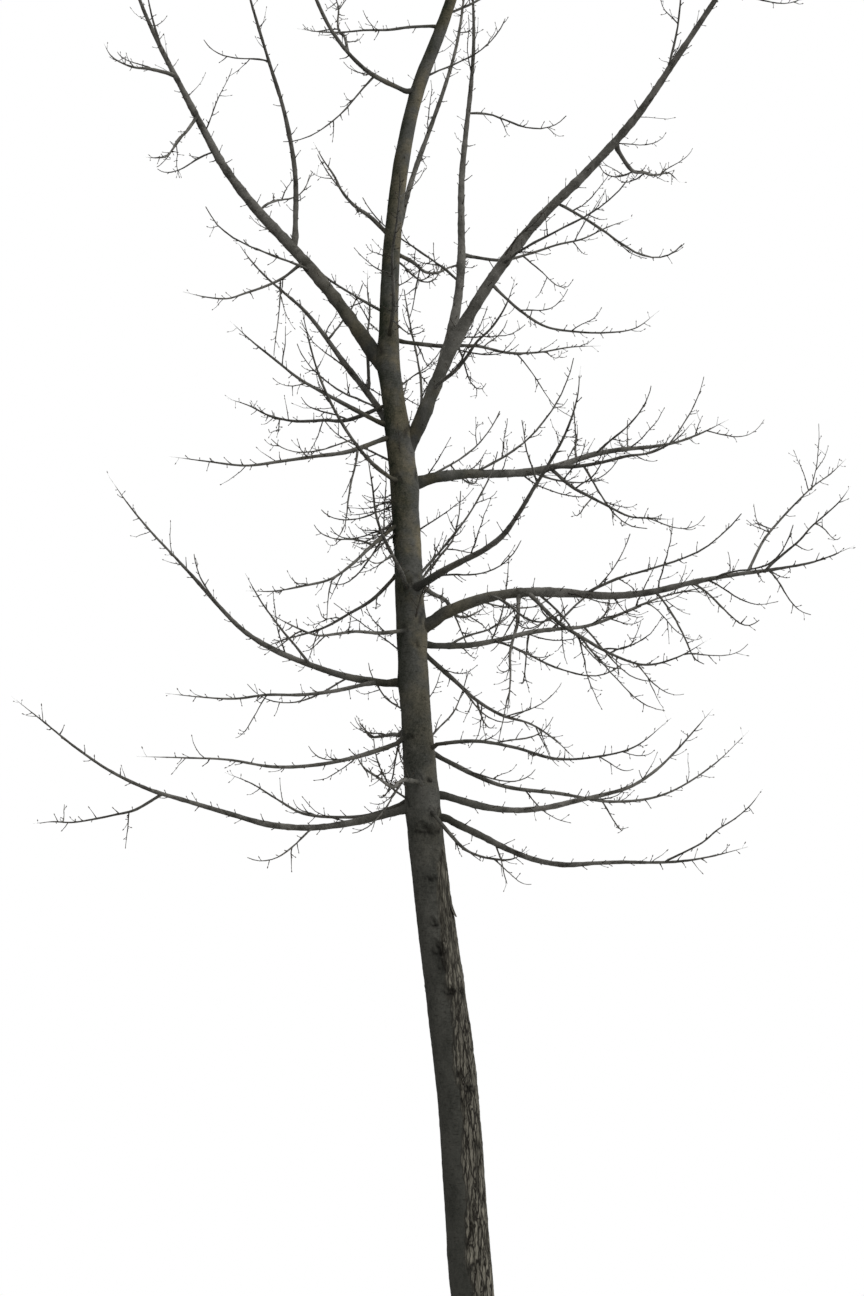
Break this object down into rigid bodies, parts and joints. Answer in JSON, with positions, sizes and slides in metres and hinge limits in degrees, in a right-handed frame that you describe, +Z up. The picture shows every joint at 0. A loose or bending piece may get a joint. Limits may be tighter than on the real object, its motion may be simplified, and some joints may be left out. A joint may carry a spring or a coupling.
{
  "type": "bare winter tree",
  "caption": "Leafless tree with a gently leaning, tapering trunk, long level and drooping lower boughs, and upright leaders spreading into an open crown.",
  "frame": {"origin": "middle of the flat cut under the trunk, at ground level", "axes": "+Z straight up the tree, +X to the side that the right-hand boughs reach, -Y to the front"},
  "size_m": [6.15, 4.6, 13.2],
  "materials": {
    "bark_old": "matte dark grey-brown bark, smooth with faint rings, fissured lengthways on one side of the trunk",
    "bark_young": "matte smooth grey bark of young boughs"
  },
  "bodies": {
    "root": {"trunk": "bark_old", "left-lowest": "bark_old", "left-lowest-fork": "bark_young", "left-inner": "bark_young", "left-drooping": "bark_young", "left-great": "bark_old", "left-great-shoot": "bark_young", "left-great-under": "bark_young", "left-short": "bark_young", "left-fallen": "bark_young", "left-hanging": "bark_young", "left-stem": "bark_old", "left-stem-fork": "bark_young", "left-fan-steep": "bark_young", "left-fan-low": "bark_young", "left-fan-back": "bark_young", "left-fan-upper": "bark_young", "left-topmost": "bark_young", "left-leader": "bark_old", "left-upright": "bark_young", "left-leader-droop": "bark_young", "left-leader-arm": "bark_young", "left-leader-hook": "bark_young", "top-left": "bark_young", "top-left-fork": "bark_young", "top-cross": "bark_young", "second-leader": "bark_old", "crown-front": "bark_young", "crown-right": "bark_young", "front-low": "bark_young", "front-dip": "bark_young", "front-middle": "bark_young", "front-high": "bark_young", "back-low": "bark_young", "back-middle": "bark_young", "back-upper": "bark_young", "back-high": "bark_young", "right-lowest": "bark_old", "right-lowest-rise": "bark_young", "right-second": "bark_old", "right-third": "bark_young", "right-fourth": "bark_young", "right-great": "bark_old", "right-great-rise": "bark_young", "right-great-tip": "bark_young", "right-great-hang": "bark_young", "right-great-under": "bark_young", "right-fifth": "bark_old", "right-sweeping": "bark_young", "right-arching": "bark_old", "right-sixth": "bark_old", "right-sixth-fork": "bark_young", "right-sixth-droop": "bark_young", "right-swinging": "bark_young", "right-leader": "bark_old", "right-upright": "bark_old", "right-leader-droop": "bark_young", "right-leader-low": "bark_young", "right-upright-arm": "bark_young", "right-leader-back": "bark_young"}
  },
  "joints": []
}
